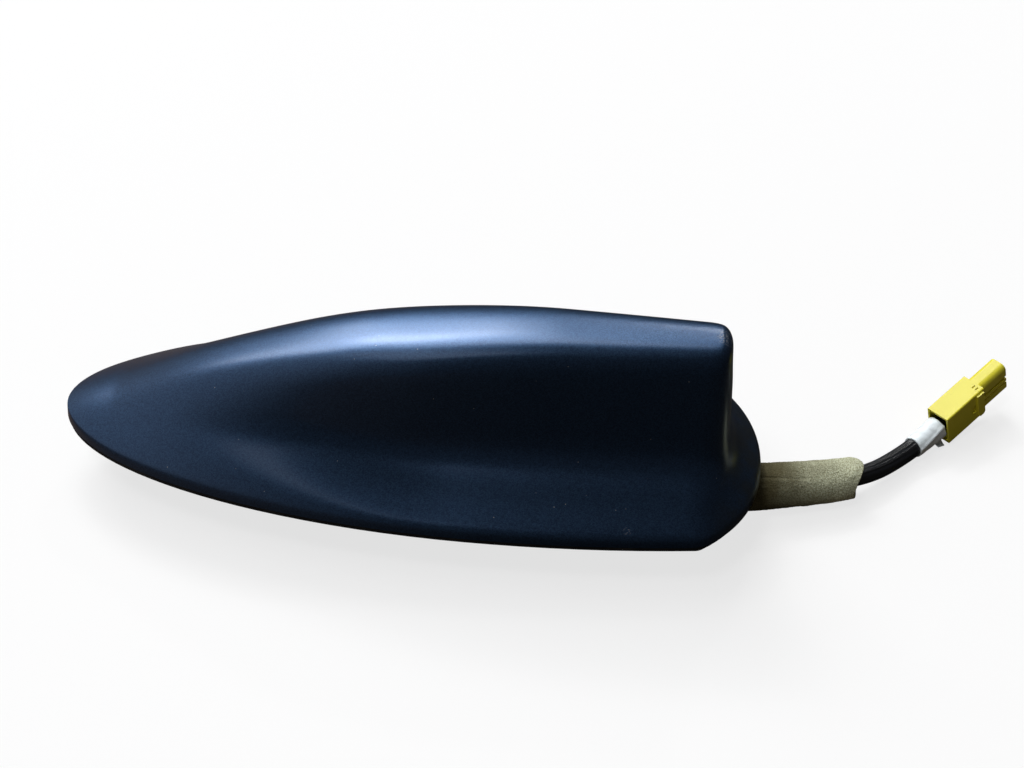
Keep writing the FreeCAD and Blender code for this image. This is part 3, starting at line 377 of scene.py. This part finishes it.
# the painted cover, in mm: sections from the nose to the tail, each from the rim to the ridge
coverSetup = {"nose": -95.0, "ahead": 100.0, "half": 33.0, "sideRadius": 400.0, "rim": 4.2, "seat": 1.6,
              "rimPole": 0.55, "climb": 38.2, "climbPower": 1.9, "crestRun": 120.0, "crestRise": 1.2,
              "crestLong": 161.0,
              "swell": [(1.0, 68.0, 22.0), (-1.2, 14.0, 14.0)], "swellFrom": 12.0,  # height, middle, reach
              "flareFrom": 8.0, "flareRun": 87.0,
              "fin": [(0.91, 0.0402), (0.6818, 0.1117), (0.4242, 0.203), (0.3717, 0.449), (0.3192, 0.694),
                      (0.2667, 0.94), (0.1653, 1.0)],
              "spread": [(0, 0), (0, 0), (0.0258, 0), (0.043, 0), (0.061, 0), (0.075, -0.02), (0.052, 0)],
              "spreadEnd": 158.0, "spreadRun": 58.0, "spreadMost": 1.3, "sink": 1.7,
              "tailCentre": 40.0,
              "tail": [(36, 0), (36, 2.31), (36, 4.2), (33.8, 5.48), (30, 7.56), (27.1, 11.4), (26.4, 21),
                       (25.4, 32.3), (24.4, 43.6), (23.4, 54.9)],
              "tailSteps": 160, "full": 0.95, "rimRound": 1.6, "hipRound": 8.5, "hipFrom": 5.0, "hipRun": 9.0,
              "crownHalf": 8.0, "topRound": 3.0, "topReach": 14.0,
              "columns": 138, "lines": 120, "columnSplit": (0.45, 0.55), "least": 1e-6, "merge": 2e-5,
              "wall": 0.0023}


def ease(share):
    share = min(max(share, 0.0), 1.0)
    return share * share * (3 - 2 * share)


# smooth curve held by its poles, turn from 0 to the number of spans
def splineAt(poles, turn):
    spans = len(poles) - 3
    first = min(int(turn), spans - 1)
    knots = [min(max(first + i - 2, 0), spans) for i in range(6)]
    spots = [Vector(pole) for pole in poles[first:first + 4]]
    for level in range(1, 4):
        for i in range(3, level - 1, -1):
            low, high = knots[i - 1], knots[i + 3 - level]
            spots[i] = spots[i - 1].lerp(spots[i], (turn - low) / (high - low))
    return spots[3]


tailSpans = len(coverSetup["tail"]) - 3
tailLine = [splineAt(coverSetup["tail"], tailSpans * i / coverSetup["tailSteps"])
            for i in range(coverSetup["tailSteps"] + 1)]


def tailRadius(height):
    for low, high in zip(tailLine, tailLine[1:]):
        if height <= high.y:
            return low.x + (high.x - low.x) * (height - low.y) / max(high.y - low.y, coverSetup["least"])
    return tailLine[-1].x


# across and up on a section, from a dome at the nose to a fin with a flared foot
def coverSection(station, line):
    setup = coverSetup
    behind = station - setup["ahead"]
    if behind < 0:
        half = setup["half"] * math.sqrt(1 - (behind / setup["ahead"]) ** 2)
    else:
        half = setup["half"] - setup["sideRadius"] + math.sqrt(setup["sideRadius"] ** 2 - behind ** 2)
    climb = 1 - (1 - min(station / setup["crestRun"], 1)) ** setup["climbPower"]
    share = ease((station - setup["flareFrom"]) / setup["flareRun"])
    # the fin is wider ahead than at its tail
    spread = min(max((setup["spreadEnd"] - station) / setup["spreadRun"], 0), setup["spreadMost"])
    rise = setup["climb"] * climb + setup["crestRise"] * min(station / setup["crestLong"], 1)
    rise -= setup["sink"] * share * spread
    for height, middle, reach in setup["swell"]:
        rise += height * bell(station - middle, reach) * min(station / setup["swellFrom"], 1)
    rim = setup["rim"]
    poles = [(half, 0), (half, setup["rimPole"] * rim), (half, rim)]
    for i, ((across, up), (more, lift)) in enumerate(zip(setup["fin"], setup["spread"]), 1):
        dome = 1 - i / (len(setup["fin"]) + 1)
        across = dome + (across + more * spread - dome) * share
        up = (1 - dome ** 2) + (up + lift * spread - 1 + dome ** 2) * share
        poles.append((half * across, rim + rise * up))
    poles.append((0, rim + rise))
    poles += [(-across, up) for across, up in reversed(poles[:-1])]
    return splineAt(poles, (len(poles) - 3) / 2 * line)


# a place on the skin: along from nose to tail, line from rim to ridge
def coverPoint(along, line):
    setup = coverSetup
    noseShare, tailShare = setup["columnSplit"]
    tailStation = setup["tailCentre"] - setup["nose"]
    radius = tailRadius(coverSection(tailStation, line).y)
    around = max(along - tailShare, 0) / (1 - tailShare) * math.pi / 2
    if along < noseShare:
        station = setup["ahead"] * (1 - math.cos(along / noseShare * math.pi / 2))
    else:
        straight = min((along - noseShare) / (tailShare - noseShare), 1)
        station = setup["ahead"] + (tailStation - setup["ahead"]) * straight
        station += radius * math.sin(around)
    across, up = coverSection(max(station, setup["least"]), line)
    # rounded down at the rear of the ridge
    drop = setup["topRound"] - radius * (1 - math.sin(around))
    if drop > 0:
        drop = setup["topRound"] - math.sqrt(setup["topRound"] ** 2 - drop ** 2)
        up -= drop * ease((up - setup["rim"] - setup["climb"] + setup["topReach"]) / setup["topReach"])
    # drawn in round the tail: the lesser of two widths, with a rounded hip where they meet
    wide = max(across, setup["crownHalf"])
    hip = ease((up - setup["hipFrom"]) / setup["hipRun"])
    soft = setup["rimRound"] + (setup["hipRound"] - setup["rimRound"]) * hip
    closing = radius * max(math.cos(around), 0.0) ** setup["full"]
    blend = max(soft - abs(wide - closing), 0.0) / soft
    across *= (min(wide, closing) - soft * blend * blend / 4) / wide
    return Vector((station + setup["nose"], across, max(up, setup["seat"]))) / 1000


coverSkin = bmesh.new()
bmesh.ops.create_grid(coverSkin, x_segments=coverSetup["columns"], y_segments=coverSetup["lines"], size=0.5)
for vert in coverSkin.verts:
    place = coverPoint(vert.co.x + 0.5, 1 - 2 * abs(vert.co.y))
    place.y *= -1 if vert.co.y < 0 else 1
    vert.co = place
bmesh.ops.remove_doubles(coverSkin, verts=coverSkin.verts, dist=coverSetup["merge"])
bmesh.ops.recalc_face_normals(coverSkin, faces=coverSkin.faces)
highest = max(coverSkin.faces, key=lambda face: face.calc_center_median().z)
if highest.normal.z < 0:
    bmesh.ops.reverse_faces(coverSkin, faces=coverSkin.faces)
for edge in coverSkin.edges:
    edge.smooth = not edge.is_boundary
finCover = addPiece("finCover", meshFrom(coverSkin, "finCover"), "paint", "fin_cover")
wall = finCover.modifiers.new("wall", "SOLIDIFY")
wall.thickness = coverSetup["wall"]
wall.offset = -1.0
print("cover formed")

# the other solids keep their own shape, joined up and smooth except at edges over sharp degrees
copySetup = {"merge": 2e-6, "sliver": 1e-7, "sharp": 32.0}


def smoothCopy(nodeName, pieceName, slot):
    bm = bmesh.new()
    bm.from_mesh(nodes[nodeName].data)
    bmesh.ops.remove_doubles(bm, verts=bm.verts, dist=copySetup["merge"])
    bmesh.ops.dissolve_degenerate(bm, edges=bm.edges, dist=copySetup["sliver"])
    for edge in bm.edges:
        edge.smooth = edge.calc_face_angle(0.0) < math.radians(copySetup["sharp"])
    mesh = meshFrom(bm, pieceName)
    if "custom_normal" in mesh.attributes:
        mesh.attributes.remove(mesh.attributes["custom_normal"])
    piece = addPiece(pieceName, mesh, slot, nodeName)
    weights = piece.modifiers.new("weights", "WEIGHTED_NORMAL")
    weights.keep_sharp = True
    return piece


plugShell = smoothCopy("connector_housing", "plugShell", "plug")
seatGasket = smoothCopy("base_gasket", "seatGasket", "seal")
castBase = smoothCopy("base_plate", "castBase", "casting")
roofStud = smoothCopy("mounting_stud", "roofStud", "steel")
coverScrews = smoothCopy("cover_screws", "coverScrews", "steel")
outletBush = smoothCopy("cable_grommet", "outletBush", "seal")
crimpFerrule = smoothCopy("shield_ferrule", "crimpFerrule", "tin")
plugCore = smoothCopy("contact_insulator", "plugCore", "insulator")
plugPin = smoothCopy("centre_contact", "plugPin", "contact")
print("solids smoothed")

# finishes: tones run from dark to light, patterns are per metre, and streaks are in UV units
paintSetup = {"tones": ((0.014, 0.034, 0.080, 1), (0.036, 0.082, 0.168, 1)), "flakes": 4600.0, "clouds": 55.0,
              "dust": 420.0, "dustTone": (0.42, 0.42, 0.40, 1),
              "scuffs": [((0.0628, -0.0002, 0.0430), 0.0035), ((0.0435, -0.0291, 0.0052), 0.0013)],
              "scuffGrain": 2200.0, "scuffTone": (0.24, 0.25, 0.26, 1),
              "dirt": 160.0, "dirtBack": (0.060, 0.072), "dirtTop": (0.006, 0.016),
              "dirtTone": (0.040, 0.042, 0.032, 1), "peel": 1800.0}


def paintFinish():
    setup = paintSetup
    look = Finish("metallicPaint", {"Coat Roughness": 0.22, "Coat IOR": 1.5, "Coat Weight": 0.45})
    flake = look.cellLevel(setup["flakes"])
    cloud = look.noise(setup["clouds"], 3.0)
    tone = (flake * 0.75 + cloud * 0.15).mixColour(*setup["tones"])
    # settled dust, and two rubbed places
    dust = 1 - look.cells(setup["dust"]).rise(0.03, 0.06)
    dust = dust * look.cellLevel(setup["dust"]).rise(0.80, 0.82)
    ridgeScuff, rimScuff = setup["scuffs"]
    scuff = look.spot(*ridgeScuff) + look.spot(*rimScuff)
    scuff = scuff * look.noise(setup["scuffGrain"], 3.0).rise(0.50, 0.66)
    tone = (dust * 0.8).mixColour(tone, setup["dustTone"])
    tone = (scuff * 0.75).mixColour(tone, setup["scuffTone"])
    # dirt low on the tail
    dirt = look.axis("X").rise(*setup["dirtBack"]) * (1 - look.axis("Z").rise(*setup["dirtTop"]))
    dirt = dirt * 0.6 * look.noise(setup["dirt"], 4.0).rise(0.3, 0.7)
    tone = dirt.mixColour(tone, setup["dirtTone"])
    look.feed("Base Color", tone)
    look.feed("Metallic", 0.9 - (dust + scuff) * 0.8)
    look.feed("Roughness", 0.30 + flake * 0.08 + cloud * 0.04 + scuff * 0.3)
    look.bump(look.noise(setup["peel"], 2.0), 0.05, 0.0002)
    return look.material


foamSetup = {"tones": (linear(152, 152, 122), linear(214, 218, 190)), "pores": 2600.0, "cells": 3800.0,
             "specks": 3300.0, "poreTone": linear(78, 74, 50), "darkEnd": 120.0, "darkEndEdge": 0.014,
             "darkEndSpan": (0.086, 0.107), "darkEndTones": (linear(40, 34, 17), linear(92, 84, 52))}


def foamFinish():
    setup = foamSetup
    look = Finish("openFoam", {"Specular IOR Level": 0.2})
    cell = look.cells(setup["cells"])
    pore = 1 - look.cells(setup["pores"]).rise(0.08, 0.30)
    speck = look.noise(setup["specks"], 4.0)
    tone = speck.rise(0.34, 0.68).mixColour(*setup["tones"])
    tone = (pore * 0.6).mixColour(tone, setup["poreTone"])
    # darker and browner near the cover, lighter towards its free end
    lighter = (look.axis("X") + look.noise(setup["darkEnd"], 3.0) * setup["darkEndEdge"]).rise(*setup["darkEndSpan"])
    darkEnd = (speck * 0.8 + 0.1).mixColour(*setup["darkEndTones"])
    look.feed("Base Color", ((1 - lighter) * 0.95).mixColour(tone, darkEnd))
    look.feed("Roughness", 0.85 + pore * 0.1)
    look.bump(speck * 0.7 + cell * 0.5 - pore * 0.5, 0.6, 0.0003)
    return look.material


sheathSetup = {"tones": (linear(4, 5, 8), linear(24, 27, 34)), "lines": (0.5, 34.0, 1.0), "rub": 700.0}


def sheathFinish():
    look = Finish("blackSheath", {"Specular IOR Level": 0.8})
    line = look.streaks(sheathSetup["lines"], 3.0)
    rub = look.noise(sheathSetup["rub"], 3.0)
    # the lighter lines along the lead's colour are painted highlights
    look.feed("Base Color", line.rise(0.40, 0.80).mixColour(*sheathSetup["tones"]))
    look.feed("Roughness", 0.20 + line * 0.18 + rub * 0.1)
    look.bump(line + rub * 0.15, 0.6, 0.0004)
    return look.material


tapeSetup = {"lighter": linear(236, 245, 249), "worn": linear(214, 222, 226), "under": linear(150, 151, 152),
             "underHeight": (-0.0125, -0.0095), "threads": (60.0, 9.0, 1.0), "grime": 420.0}


def tapeFinish():
    setup = tapeSetup
    look = Finish("whiteTape", {})
    thread = look.streaks(setup["threads"], 3.0)
    grime = look.noise(setup["grime"], 4.0)
    tone = grime.rise(0.45, 0.75).mixColour(setup["lighter"], setup["worn"])
    # painted shade: the wrap turns grey towards its bottom
    under = 1 - look.axis("Z").rise(*setup["underHeight"])
    look.feed("Base Color", (under * 0.5).mixColour(tone, setup["under"]))
    look.feed("Roughness", 0.42 + thread * 0.2)
    look.bump(thread + grime * 0.5, 0.25, 0.0002)
    return look.material


plugSetup = {"tones": ((0.68, 0.61, 0.028, 1), (0.75, 0.68, 0.050, 1)), "clouds": 220.0, "grain": 3800.0,
             "grime": 900.0, "grimeTone": (0.40, 0.30, 0.05, 1)}


def plugFinish():
    setup = plugSetup
    look = Finish("yellowPlastic", {})
    tone = look.noise(setup["clouds"], 3.0).mixColour(*setup["tones"])
    grain = look.noise(setup["grain"], 2.0)
    grime = look.noise(setup["grime"], 5.0).rise(0.62, 0.78)
    look.feed("Base Color", (grime * 0.3).mixColour(tone, setup["grimeTone"]))
    look.feed("Roughness", 0.36 + grain * 0.12 + grime * 0.15)
    look.bump(grain, 0.06, 0.0002)
    return look.material


rubberSetup = {"tones": (linear(22, 22, 23), linear(44, 44, 45)), "grain": 2400.0, "bloom": 130.0}


def rubberFinish():
    look = Finish("blackRubber", {"Specular IOR Level": 0.35})
    grain = look.noise(rubberSetup["grain"], 3.0)
    bloom = look.noise(rubberSetup["bloom"], 3.0).rise(0.45, 0.75)
    look.feed("Base Color", bloom.mixColour(*rubberSetup["tones"]))
    look.feed("Roughness", 0.62 + grain * 0.2)
    look.bump(grain, 0.2, 0.0002)
    return look.material


castSetup = {"tones": (linear(128, 129, 131), linear(182, 183, 185)), "skin": 700.0, "flow": 60.0}


def castFinish():
    look = Finish("castZinc", {"Metallic": 1.0})
    skin = look.noise(castSetup["skin"], 5.0)
    flow = look.noise(castSetup["flow"], 2.0)
    look.feed("Base Color", (skin * 0.5 + flow * 0.5).mixColour(*castSetup["tones"]))
    look.feed("Roughness", 0.42 + skin * 0.25)
    look.bump(skin, 0.25, 0.0003)
    return look.material


metalSetup = {"grain": 1600.0, "threadPitch": 0.00125, "threadDepth": 0.0006,
              "steel": (linear(150, 150, 148), linear(196, 196, 193)),
              "thread": (linear(140, 140, 138), linear(190, 190, 187)),
              "tin": (linear(170, 171, 172), linear(208, 208, 206)),
              # the ferrule in the plug's open back: tinned metal given a dark grey tone, a painted shade
              "shadedCrimp": (linear(34, 36, 34), linear(72, 74, 70)),
              "gilt": (linear(196, 160, 84), linear(226, 196, 120))}


# plain sheet and turned metal, with the screw's line round the stud
def metalFinish(name, metal, threaded=False):
    look = Finish(name, {"Metallic": 1.0})
    grain = look.noise(metalSetup["grain"], 3.0)
    look.feed("Base Color", grain.mixColour(*metalSetup[metal]))
    look.feed("Roughness", 0.26 + grain * 0.2)
    if threaded:
        around = look.start.node("ShaderNodeTexGradient", {"gradient_type": "RADIAL"},
                                 {"Vector": look.place}, "Fac")
        winding = around + look.axis("Z") * (1 / metalSetup["threadPitch"])
        look.bump(winding.math("PINGPONG", winding, 0.5) * 2.0, 1.0, metalSetup["threadDepth"])
    else:
        look.bump(grain, 0.1, 0.0002)
    return look.material


boardSetup = {"tones": (linear(18, 84, 50), linear(26, 106, 62)), "tracks": 260.0, "weave": 2600.0}


def boardFinish():
    look = Finish("greenBoard", {"Coat Weight": 0.4, "Coat Roughness": 0.2})
    track = look.cells(boardSetup["tracks"]).rise(0.30, 0.34)
    weave = look.noise(boardSetup["weave"], 2.0)
    look.feed("Base Color", track.mixColour(*boardSetup["tones"]))
    look.feed("Roughness", 0.4 + weave * 0.15)
    look.bump(track + weave * 0.3, 0.15, 0.0001)
    return look.material


ceramicSetup = {"tones": (linear(196, 186, 160), linear(222, 214, 192)), "specks": 1500.0}


def ceramicFinish():
    look = Finish("paleCeramic", {})
    speck = look.noise(ceramicSetup["specks"], 4.0)
    look.feed("Base Color", speck.mixColour(*ceramicSetup["tones"]))
    look.feed("Roughness", 0.4 + speck * 0.2)
    look.bump(speck, 0.1, 0.0001)
    return look.material


resinSetup = {"tones": (linear(226, 224, 214), linear(240, 239, 232)), "specks": 1100.0}


def resinFinish():
    look = Finish("milkyResin", {"Subsurface Weight": 0.1})
    speck = look.noise(resinSetup["specks"], 3.0)
    look.feed("Base Color", speck.mixColour(*resinSetup["tones"]))
    look.feed("Roughness", 0.45 + speck * 0.1)
    look.bump(speck, 0.08, 0.0001)
    return look.material


rubber = rubberFinish()
steel = metalFinish("platedSteel", "steel")
tinned = metalFinish("tinnedSheet", "tin")
sheath = sheathFinish()
finishes = {finCover: paintFinish(), foamSleeve: foamFinish(), antennaLead: sheath, leadInside: sheath,
            whiteWrap: tapeFinish(), plugShell: plugFinish(), seatGasket: rubber, outletBush: rubber,
            castBase: castFinish(), roofStud: metalFinish("threadedSteel", "thread", threaded=True),
            coverScrews: steel, crimpFerrule: metalFinish("crimpPaintedShade", "shadedCrimp"), plugCore: resinFinish(),
            plugPin: metalFinish("giltContact", "gilt"),
            nodes["inner_seal"]: rubber, nodes["board_screws"]: steel, nodes["main_board"]: boardFinish(),
            nodes["shield_can"]: tinned, nodes["patch_antenna"]: ceramicFinish(),
            nodes["patch_feed_pin"]: tinned, nodes["fin_element"]: tinned, nodes["cable_clamp"]: tinned}
for piece, material in finishes.items():
    piece.data.materials.clear()
    piece.data.materials.append(material)
print("finishes given:", len(finishes))

# the floor, and a dark card just above it that only reflections see
stageSetup = {"floor": -0.0133, "size": 6.0, "seenTone": (0.22, 0.22, 0.22, 1),
              "glow": (0.735, 0.735, 0.735, 1), "unseenTone": (0.12, 0.09, 0.06, 1),
              "card": -0.01325, "cardSize": 5.9, "cardSpan": (-0.12, 0.04),
              "cardTones": ((0.12, 0.09, 0.075, 1), (0.03, 0.028, 0.025, 1))}


def stageSheet(name, size, height, material):
    bm = bmesh.new()
    bmesh.ops.create_grid(bm, x_segments=1, y_segments=1, size=0.5)
    bmesh.ops.scale(bm, vec=(size, size, 1), verts=bm.verts)
    bmesh.ops.translate(bm, vec=(0, 0, height), verts=bm.verts)
    sheet = bpy.data.objects.new(name, meshFrom(bm, name))
    scene.collection.objects.link(sheet)
    sheet.data.materials.append(material)
    return sheet


# pale to the eye and in reflections, and dim as a source of light on the object
def floorFinish():
    look = Finish("paleFloor", {"Roughness": 0.9, "Specular IOR Level": 0.0, "Emission Strength": 1.0})
    eye, gloss, glass = (look.start.node("ShaderNodeLightPath", {}, {}, "Is " + kind + " Ray")
                         for kind in ("Camera", "Glossy", "Transmission"))
    seen = (eye + gloss + glass).rise(0.0, 1.0)
    look.feed("Base Color", seen.mixColour(stageSetup["unseenTone"], stageSetup["seenTone"]))
    look.feed("Emission Color", seen.mixColour((0, 0, 0, 1), stageSetup["glow"]))
    return look.material


def cardFinish():
    look = Finish("darkCard", {"Roughness": 1.0, "Specular IOR Level": 0.0})
    look.feed("Base Color", look.axis("X").rise(*stageSetup["cardSpan"]).mixColour(*stageSetup["cardTones"]))
    return look.material


stageSheet("floor", stageSetup["size"], stageSetup["floor"], floorFinish())
card = stageSheet("darkCard", stageSetup["cardSize"], stageSetup["card"], cardFinish())
card.visible_camera = False
card.visible_diffuse = False
card.visible_shadow = False
card.visible_transmission = False

# lamps: azimuth and elevation in degrees, width, depth, radiance; hidden ones don't show in reflections
lampSetup = {"away": 3.2,
             "shown": {"backPanel": (107, 53, 1.10, 1.45, 5.0), "backWindow": (127, 41, 1.30, 1.10, 8.0),
                       "backStrip": (112, 44, 0.80, 0.26, 24.0), "topPanel": (-163, 70, 2.40, 0.80, 1.4),
                       "tailStrip": (83, 36, 0.30, 0.14, 56.0)},
             "hidden": {"backFill": (146, 58, 3.10, 1.90, 1.6), "dropLamp": (-130, 66, 0.60, 0.60, 13.0)}}


def areaLamp(name, azimuth, elevation, width, depth, radiance, seen):
    data = bpy.data.lights.new(name, "AREA")
    data.shape = "RECTANGLE"
    data.size = width
    data.size_y = depth
    data.energy = radiance * math.pi * width * depth
    lamp = bpy.data.objects.new(name, data)
    scene.collection.objects.link(lamp)
    lamp.visible_glossy = seen
    azimuth, elevation = math.radians(azimuth), math.radians(elevation)
    flat = math.cos(elevation)
    way = Vector((flat * math.cos(azimuth), flat * math.sin(azimuth), math.sin(elevation)))
    turned = way.to_track_quat("Z", "Y").to_matrix().to_4x4()
    lamp.matrix_world = Matrix.Translation(way * lampSetup["away"]) @ turned


for name, values in lampSetup["shown"].items():
    areaLamp(name, *values, seen=True)
for name, values in lampSetup["hidden"].items():
    areaLamp(name, *values, seen=False)

# the room: dim, and brighter on the left
roomSetup = {"towards": (-0.95, -0.10, 0.10), "span": (0.2, 0.95),
             "tones": ((0.05, 0.05, 0.05, 1), (0.60, 0.62, 0.65, 1))}

world = bpy.data.worlds.new("studio")
world.use_nodes = True
room = Wire(world.node_tree)
way = room.node("ShaderNodeTexCoord", {}, {}, "Generated")
slope = room.node("ShaderNodeVectorMath", {"operation": "DOT_PRODUCT"}, {0: way, 1: roomSetup["towards"]},
                  "Value")
tint = slope.rise(*roomSetup["span"]).mixColour(*roomSetup["tones"])
world.node_tree.links.new(tint.socket, world.node_tree.nodes["Background"].inputs["Color"])
scene.world = world
print("stage lit")
